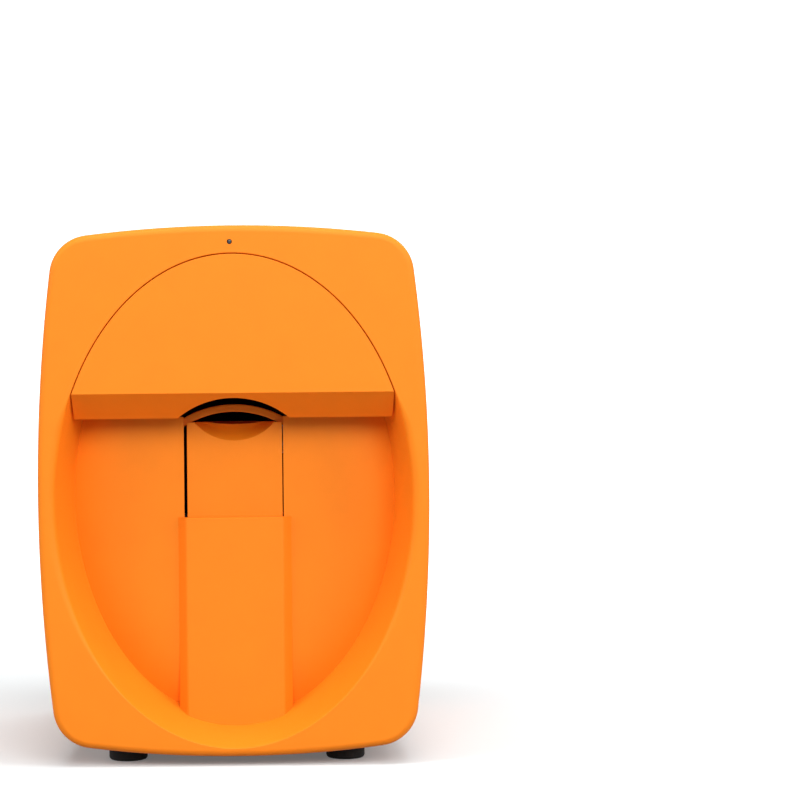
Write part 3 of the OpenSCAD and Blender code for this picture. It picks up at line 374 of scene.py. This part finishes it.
def quarter(n):
    """n + 1 steps of a quarter turn, as sine and cosine."""
    return [(sin(pi / 2 * i / n), cos(pi / 2 * i / n)) for i in range(n + 1)]


def bulge(t):
    """How far the back wall stands forward of its crease: 0 at the crease, 1 at the flat middle."""
    return BULGE * (1 - (1 - t) ** 3.5)


def front_shell():
    y_lip = SEAM_Y - SEAM / 2
    spread = [t / 14 for t in range(14, -1, -1)]
    rings = [oval(CREASE - bulge(t), BULGE_W * t, EDGE_DEPTH) for t in spread]
    rings += [oval(FRONT + d, 0) for d in (EDGE_DEPTH - 0.6, 26, 18, 12, 7)]
    rings += [bowl_edge(t / 6) for t in range(6, -1, -1)]
    rings += [outline(FRONT + EDGE_R * (1 - c), EDGE_R * (1 - s)) for s, c in
              [(sin(a), cos(a)) for a in [pi / 2 * i / 8 for i in range(9)]]]
    rings += [outline(-100, 0), outline(y_lip - 0.3, 0), outline(y_lip, 0.3)]
    rings += [outline(y_lip, WALL), outline(FRONT + WALL + 1, WALL), outline(FRONT + WALL, WALL + 1),
              oval(FRONT + WALL, -WALL), oval(FRONT + EDGE_DEPTH, -WALL),
              oval(CREASE + WALL, -WALL, EDGE_DEPTH)]
    rings += [oval(CREASE - bulge(t) + WALL, BULGE_W * t + WALL, EDGE_DEPTH) for t in spread[::-2]]
    shell = skin(rings)
    pocket = skin([[(-POCKET_W / 2, BOWL_BACK + 0.5, z), (-POCKET_W / 2, BOWL_BACK, z),
                    (-POCKET_W / 2 + PROUD, BOWL_BACK - PROUD, z),
                    (POCKET_W / 2 - PROUD, BOWL_BACK - PROUD, z),
                    (POCKET_W / 2, BOWL_BACK, z), (POCKET_W / 2, BOWL_BACK + 0.5, z)]
                   for z in (BOWL_FLOOR - POCKET_FOOT, POCKET_TOP)])
    ease(pocket, POCKET_EASE, segments=4, where=lambda p: p.y < BOWL_BACK - 1)
    shell = carve(shell, [pocket], "UNION")
    slot = box((SLOT_X - SLOT_W / 2, BOWL_BACK, SLOT_LOW),
               (SLOT_X + SLOT_W / 2, CREASE + WALL, MOUTH_Z + 0.01))
    window = carve(prism([(x, z) for x, _, z in oval(0, WINDOW_IN, EDGE_DEPTH)],
                         BOWL_BACK - 1, CREASE + WALL + 1),
                   [box((-95, FRONT, MOUTH_Z), (95, 0, TOP))], "INTERSECT")
    arm_slots = [box((s * ARM_X - ARM_SLOT_W / 2, PIN_Y - 1, BOWL_TOP - 9),
                     (s * ARM_X + ARM_SLOT_W / 2, ARM_SLOT_BACK, BOWL_TOP + 3.5))
                 for s in (-1, 1)]
    light = disc(LIGHT_X, LIGHT_Z, FRONT - 1, FRONT + WALL + 1, LIGHT_D / 2 + 0.1, 32)
    shell = carve(shell, [slot, window, light] + arm_slots)
    bosses = [disc(x, z, y, FRAME_Y, BOSS_R) for x in (-BOSS_X, BOSS_X) for z, y in BOSSES]
    feet = [turned(FOOT_SOCKET, (0, 0, 1), (s * FOOT_X, -FOOT_Y, -FOOT_SINK)) for s in (-1, 1)]
    return piece(join(shell, *bosses, *feet), "front_moulding", "housing", orange,
                 ["front_shell"])


def drawn_in(y):
    return TAPER * max(0, y - SEAM_Y) / (BACK - REAR_EDGE_R - SEAM_Y)


def rear_shell():
    y_lip = SEAM_Y + SEAM / 2
    straight = BACK - REAR_EDGE_R
    rings = [outline(y_lip, 0.3), outline(y_lip + 0.3, 0)]
    rings += [outline(y, drawn_in(y)) for y in (-30, 20, 70)]
    rings += [outline(straight + REAR_EDGE_R * s, TAPER + REAR_EDGE_R * (1 - c)) for s, c in quarter(12)]
    inner = REAR_EDGE_R - WALL
    inside = [outline(y_lip, WALL), outline(20, WALL + drawn_in(20))]
    inside += [outline(straight + inner * s, TAPER + WALL + inner * (1 - c)) for s, c in quarter(6)]
    shell = skin(rings[::-1] + inside)
    tongue = skin([outline(y, d) for y, d in
                   ((-75, 2.65), (-72.3, 2.65), (-71, 1.8), (-69, 1.8), (-68, 2.9), (-70.5, 3.9),
                    (-75, 3.9), (-75, 2.65))], caps=(False, False))
    bmesh.ops.remove_doubles(tongue, verts=tongue.verts, dist=1e-4)
    opening = box((-PANEL_W / 2 - 0.3, BACK - WALL - 1, PANEL_Z - 0.3),
                  (PANEL_W / 2 + 0.3, BACK + 1, PANEL_Z + PANEL_H + 0.3))
    shell = carve(shell, [opening])
    rim = carve(box((-PANEL_W / 2 - 3, BACK - 5, PANEL_Z - 3),
                    (PANEL_W / 2 + 3, BACK - WALL - 0.05, PANEL_Z + PANEL_H + 3)),
                [box((-PANEL_W / 2 + 3, BACK - 6, PANEL_Z + 3),
                     (PANEL_W / 2 - 3, BACK, PANEL_Z + PANEL_H - 3))])
    feet = [turned(FOOT_SOCKET, (0, 0, 1), (s * FOOT_X, FOOT_Y, -FOOT_SINK)) for s in (-1, 1)]
    return piece(join(shell, tongue, rim, *feet), "rear_moulding", "housing", orange,
                 ["rear_shell"])


def hood():
    edge = [(0, 0.9), (0.06, 0.72), (0.2, 0.58), (0.45, 0.5), (HOOD_WALL, 0.65), (BEVEL_D, 1.3)]
    block = skin([oval(FRONT + t, d) for t, d in edge])
    slope = Vector((0, BEVEL_H, BEVEL_D)).normalized()
    cut = bmesh.ops.bisect_plane(block, geom=block.verts[:] + block.edges[:] + block.faces[:],
                                 plane_co=(0, FRONT, HOOD_Z), plane_no=-slope, clear_outer=True)
    rim = [e for e in cut["geom_cut"] if isinstance(e, bmesh.types.BMEdge)]
    bmesh.ops.edgeloop_fill(block, edges=rim)
    hollow = side_prism([(FRONT + HOOD_WALL, TOP), (FRONT + HOOD_WALL, HOOD_Z + 1.4),
                         (FRONT + BEVEL_D - HOOD_WALL, HOOD_Z - 8.2),
                         (FRONT + BEVEL_D - HOOD_WALL, HOOD_Z - BEVEL_H + 9),
                         (FRONT + BEVEL_D + 1, HOOD_Z - BEVEL_H + 9), (FRONT + BEVEL_D + 1, TOP)], -99, 99)
    notch = disc(0, NOTCH_TOP - NOTCH_R, FRONT - 2, FRONT + BEVEL_D + 1, NOTCH_R, 200)
    shell = carve(block, [hollow, notch])
    ease(shell, 0.5, angle=25, segments=3,
         where=lambda p: p.z < HOOD_Z + 0.2 and p.y < FRONT + BEVEL_D + 0.1)
    ribs = [side_prism([(FRONT + 1, HOOD_Z + 1), (FRONT + BEVEL_D - 1, HOOD_Z - BEVEL_H + 2),
                        (FRONT + BEVEL_D - 1, HOOD_Z - BEVEL_H + 9), (FRONT + 1, HOOD_Z + 14)],
                       x - RIB_T / 2, x + RIB_T / 2) for x in HOOD_RIBS]
    pads = [box((s * ARM_X - 4, FRONT + 1.5, BOWL_TOP - 13), (s * ARM_X + 4, FRONT + 2.7, BOWL_TOP - 5.5))
            for s in (-1, 1)]
    return piece(join(shell, *ribs, *pads), "hood_moulding", "hood", orange, ["hood"])


# ------------------------------------------------------------ finger rest
def channel():
    """The finger's channel: a lead-in that rises, a short ramp, then a level floor."""
    n, rings = 220, []
    for y, w, depth in CHANNEL:
        r = (w * w / 4 + depth * depth) / (2 * depth)
        mid = REST_TOP - depth + r
        rings.append([(REST_X + r * cos(2 * pi * i / n), REST_FRONT + y, mid + r * sin(2 * pi * i / n))
                      for i in range(n)])
    return skin(rings)


def finger_rest():
    back = REST_FRONT + REST_T
    x0, x1 = REST_X - REST_W / 2, REST_X + REST_W / 2
    panel = box((x0, REST_FRONT, REST_LOW), (x1, back, REST_TOP))
    panel = carve(panel, [channel()])
    ease(panel, 0.45, angle=40, segments=3, where=lambda p: p.y < REST_FRONT + 0.1)
    piece(panel, "rest_panel", "finger_rest", orange, ["finger_rest"])
    tray_low = REST_TOP - SCOOP_DEPTH - CRADLE_H
    tray = box((REST_X - SCOOP_W / 2, back, tray_low), (REST_X + SCOOP_W / 2, back + CRADLE_D, REST_TOP))
    tray = carve(tray, [channel()])
    stem = box((REST_X - STEM_W / 2, back, STEM_LOW), (REST_X + STEM_W / 2, back + STEM_D, tray_low + 1))
    piece(join(tray, stem), "rest_cradle", "finger_rest", orange, ["finger_cradle"])


def finger_tunnel():
    """The arched lip over the finger opening, its cheeks and ears."""
    y0, y1 = BOWL_BACK + WALL + 0.2, BOWL_BACK + WALL + LIP_D
    cheek = REST_W / 2 + CHEEK_GAP
    low = REST_TOP - CHEEK_H - 1
    mid = LIP_Z - LIP_R
    turns = [LIP_HALF_TURN * k / LIP_STEPS for k in range(-LIP_STEPS, LIP_STEPS + 1)]
    arc = [(r * sin(a), mid + r * cos(a)) for r, angles in ((LIP_R + LIP_T, turns), (LIP_R, turns[::-1]))
           for a in angles]
    lip = ease(prism(arc, y0, y1), 0.5, segments=3)
    parts = [lip]
    for s in (-1, 1):
        x = sorted((s * cheek, s * (cheek + CHEEK_T)))
        parts.append(ease(box((x[0], y0, low), (x[1], y1, REST_TOP - 1)), 0.5))
        x = sorted((s * (cheek + CHEEK_T), s * (cheek + CHEEK_T + EAR_W)))
        parts.append(box((x[0], y0 - 0.2, low), (x[1], y0 - 0.2 + EAR_T, REST_TOP - 6)))
    piece(join(*parts), "tunnel_lip", "housing", orange, ["finger_tunnel"])


# ------------------------------------------------------------ small outer pieces
def foot(name, x, y):
    """A rubber foot, turned, with a recess for its screw, cut to the body's underside."""
    r, hole = FOOT_D / 2, SCREW_R
    bm = turned([(hole, 3), (4, 3), (4, 0.4), (4.4, 0), (r - 1.6, 0), (r - 0.8, 0.25), (r - 0.25, 0.8),
                 (r, 1.6), (r, 12), (hole, 12), (hole, 3)], (0, 0, 1), (x, y, 0), 64)
    inset = drawn_in(y - r)
    slope = Vector((x, 0, -sqrt((BOTTOM_R - inset) ** 2 - x * x))).normalized()
    on = (x, y, BOTTOM_C[1] - sqrt((BOTTOM_R - inset) ** 2 - x * x) - 0.12)
    cut = bmesh.ops.bisect_plane(bm, geom=bm.verts[:] + bm.edges[:] + bm.faces[:], plane_co=on,
                                 plane_no=-slope, clear_outer=True)
    rims = [e for e in cut["geom_cut"] if isinstance(e, bmesh.types.BMEdge)]
    bmesh.ops.bridge_loops(bm, edges=rims)
    piece(bm, name + "_turned", "housing", rubber, [name])


def rear_panel():
    z = PANEL_Z
    plate = ease(box((-PANEL_W / 2, BACK - WALL + 0.01, z), (PANEL_W / 2, BACK - 0.3, z + PANEL_H)),
                 0.35, where=lambda p: p.y > BACK - 1)
    lefts = [AIR_FIRST + AIR_PITCH * i for i in range(AIR_SLOTS)]
    slots = [box((x, BACK - 5, z + AIR_LOW), (x + AIR_W, BACK + 1, z + AIR_HIGH)) for x in lefts]
    ports = [disc(INLET_X, PORT_Z, BACK - 5, BACK + 1, 4.8),
             disc(BUTTON_X, PORT_Z, BACK - 5, BACK + 1, BUTTON_D / 2 + 0.3),
             box((SOCKET_X - 5.2, BACK - 5, PORT_Z - 2.6), (SOCKET_X + 5.2, BACK + 1, PORT_Z + 2.6))]
    plate = carve(plate, slots + ports)
    ease(plate, 0.25, angle=50, segments=2,
         where=lambda p: abs(p.y - (BACK - 0.3)) < 0.01 and abs(p.x) < 55 and z + 5 < p.z < z + 57)
    piece(plate, "ports_plate", "housing", black, ["rear_panel"])


def ports():
    y = BACK - 18 + 1.6
    jack = box((INLET_X - 6, y, PORT_Z - 6), (INLET_X + 6, BACK - WALL - 0.2, PORT_Z + 6))
    jack = carve(jack, [disc(INLET_X, PORT_Z, BACK - 14, BACK, 2.8)])
    ease(jack, 0.3, angle=50, segments=2, where=lambda p: p.y > BACK - WALL - 0.5)
    pin = turned([(0, 0), (1, 0), (1, 9.4), (0.6, 10), (0, 10)], (0, 1, 0),
                 (INLET_X, BACK - 14, PORT_Z), 24)
    piece(join(jack, pin), "power_jack", "housing", black, ["power_inlet"])
    shell = ease(box((SOCKET_X - 4.6, y, PORT_Z - 1.7), (SOCKET_X + 4.6, BACK - 0.6, PORT_Z + 1.7)), 1.2,
                 where=lambda p: abs(p.x - SOCKET_X) > 4)
    shell = carve(shell, [ease(box((SOCKET_X - 4.2, BACK - 8, PORT_Z - 1.3),
                                   (SOCKET_X + 4.2, BACK, PORT_Z + 1.3)), 1.0, where=lambda p: True)])
    tongue = ease(box((SOCKET_X - 3.2, BACK - 8.1, PORT_Z - 0.35),
                      (SOCKET_X + 3.2, BACK - 1.6, PORT_Z + 0.35)), 0.1)
    piece(join(shell, tongue), "data_port", "housing", plated, ["data_socket"])
    r = BUTTON_D / 2
    button = turned([(0, 0.45), (r * 0.55, 0.35), (r - 1.1, 0), (r - 0.5, 0.03), (r - 0.12, 0.25), (r, 0.6),
                     (r, 2.8), (r + 1.5, 2.8), (r + 1.5, 4.5), (2, 4.5), (2, 7.5), (0, 7.5)][::-1],
                    (0, -1, 0), (BUTTON_X, BACK, PORT_Z), 64)
    piece(button, "power_key", "power_button", grey, ["power_button"])
    dot = turned([(0, 0), (LIGHT_D / 2 - 0.35, 0.03), (LIGHT_D / 2 - 0.1, 0.15), (LIGHT_D / 2, 0.4),
                  (LIGHT_D / 2, 2.2), (0, 2.2)], (0, 1, 0), (LIGHT_X, FRONT + 0.3, LIGHT_Z), 32)
    piece(dot, "light_window", "housing", lens, ["status_light"])


front_shell()
rear_shell()
hood()
finger_rest()
finger_tunnel()
for name, x, y in (("foot_front_left", -FOOT_X, -FOOT_Y), ("foot_front_right", FOOT_X, -FOOT_Y),
                   ("foot_rear_left", -FOOT_X, FOOT_Y), ("foot_rear_right", FOOT_X, FOOT_Y)):
    foot(name, x, y)
rear_panel()
ports()


# ------------------------------------------------------------ floor, light and camera
def seen(tree):
    """1 for what the camera sees, straight, mirrored or through glass; 0 for the light on the object."""
    path = tree.nodes.new("ShaderNodeLightPath")
    out = path.outputs["Is Camera Ray"]
    for kind in ("Is Glossy Ray", "Is Transmission Ray"):
        most = tree.nodes.new("ShaderNodeMath")
        most.operation = "MAXIMUM"
        tree.links.new(out, most.inputs[0])
        tree.links.new(path.outputs[kind], most.inputs[1])
        out = most.outputs["Value"]
    return out


def studio_white():
    """Matt white that comes out white in the picture, fades in with the distance from the
    object, and gives the object no more light than a mid grey floor would."""
    mat = bpy.data.materials.new("studio sweep")
    mat.use_nodes = True
    tree = mat.node_tree
    shader = tree.nodes["Principled BSDF"]
    shader.inputs["Roughness"].default_value = 0.8
    shader.inputs["Specular IOR Level"].default_value = 0.0
    eye = seen(tree)
    tint = tree.nodes.new("ShaderNodeMix")
    tint.data_type = "RGBA"
    tint.inputs["A"].default_value = (0.26, 0.26, 0.26, 1)
    tint.inputs["B"].default_value = (0.7, 0.735, 0.745, 1)
    tree.links.new(eye, tint.inputs["Factor"])
    tree.links.new(next(o for o in tint.outputs if o.type == "RGBA"), shader.inputs["Base Color"])
    place = tree.nodes.new("ShaderNodeTexCoord")
    far = tree.nodes.new("ShaderNodeVectorMath")
    far.operation = "LENGTH"
    tree.links.new(place.outputs["Object"], far.inputs[0])
    fade = tree.nodes.new("ShaderNodeMapRange")
    fade.interpolation_type = "SMOOTHSTEP"
    for key, value in (("From Min", 0.12), ("From Max", 1.1), ("To Min", 0.13), ("To Max", 1.0)):
        fade.inputs[key].default_value = value
    tree.links.new(far.outputs["Value"], fade.inputs["Value"])
    glow = tree.nodes.new("ShaderNodeMath")
    glow.operation = "MULTIPLY"
    tree.links.new(fade.outputs["Result"], glow.inputs[0])
    tree.links.new(eye, glow.inputs[1])
    shader.inputs["Emission Color"].default_value = (1, 1, 1, 1)
    tree.links.new(glow.outputs["Value"], shader.inputs["Emission Strength"])
    return mat


def sweep():
    """The floor, curving up into the backdrop."""
    bm = bmesh.new()
    path = [(-2.5, 0.0), (1.2, 0.0)]
    path += [(1.2 + 0.8 * sin(a), 0.8 - 0.8 * cos(a)) for a in [pi / 2 * i / 10 for i in range(1, 11)]]
    path += [(2.0, 3.5)]
    verts = [bm.verts.new((-4, y, z)) for y, z in path]
    edges = [bm.edges.new(pair) for pair in zip(verts, verts[1:])]
    wide = bmesh.ops.extrude_edge_only(bm, edges=edges)["geom"]
    moved = [v for v in wide if isinstance(v, bmesh.types.BMVert)]
    bmesh.ops.translate(bm, vec=(8, 0, 0), verts=moved)
    bmesh.ops.recalc_face_normals(bm, faces=bm.faces)
    obj = holder(bm, "sweep")
    obj.data.materials.append(studio_white())
    for face in obj.data.polygons:
        face.use_smooth = True


def lamp(name, place, aim, size, power, shows=True):
    light = bpy.data.lights.new(name, "AREA")
    light.shape = "RECTANGLE"
    light.size, light.size_y = size
    light.energy = power
    obj = bpy.data.objects.new(name, light)
    obj.location = place
    obj.rotation_euler = (Vector(aim) - Vector(place)).to_track_quat("-Z", "Y").to_euler()
    obj.visible_camera = shows
    scene.collection.objects.link(obj)


sweep()
lamp("front softbox", (0.3, -1.95, 1.2), (0, 0, 0.13), (1.8, 1.3), 35)
lamp("left softbox", (-1.75, -0.85, 0.95), (0, -0.1, 0.13), (0.9, 0.9), 16)
lamp("right softbox", (1.75, -0.85, 0.95), (0, -0.1, 0.13), (0.9, 0.9), 17)
lamp("overhead softbox", (0, -0.45, 1.75), (0, -0.05, 0.13), (1.2, 0.7), 17)
lamp("rear softbox", (0.4, 1.15, 1.0), (0, 0.1, 0.14), (1.0, 0.6), 10, shows=False)
world = bpy.data.worlds.new("studio")
world.use_nodes = True
tree = world.node_tree
back = tree.nodes["Background"]
back.inputs["Color"].default_value = (1, 1, 1, 1)
level = tree.nodes.new("ShaderNodeMapRange")
level.inputs["To Min"].default_value, level.inputs["To Max"].default_value = 0.06, 1.0
tree.links.new(seen(tree), level.inputs["Value"])
tree.links.new(level.outputs["Result"], back.inputs["Strength"])
scene.world = world
scene.view_settings.view_transform = "Standard"

camera = bpy.data.cameras.new("camera")
camera.sensor_width = 36
camera.lens = 102.4
camera.shift_x = 0.1575
camera.clip_start, camera.clip_end = 0.05, 20
eye = bpy.data.objects.new("camera", camera)
eye.location = (0.020, -1.216, 0.177)
eye.rotation_euler = (radians(90), radians(0.55), 0)
scene.collection.objects.link(eye)
scene.camera = eye
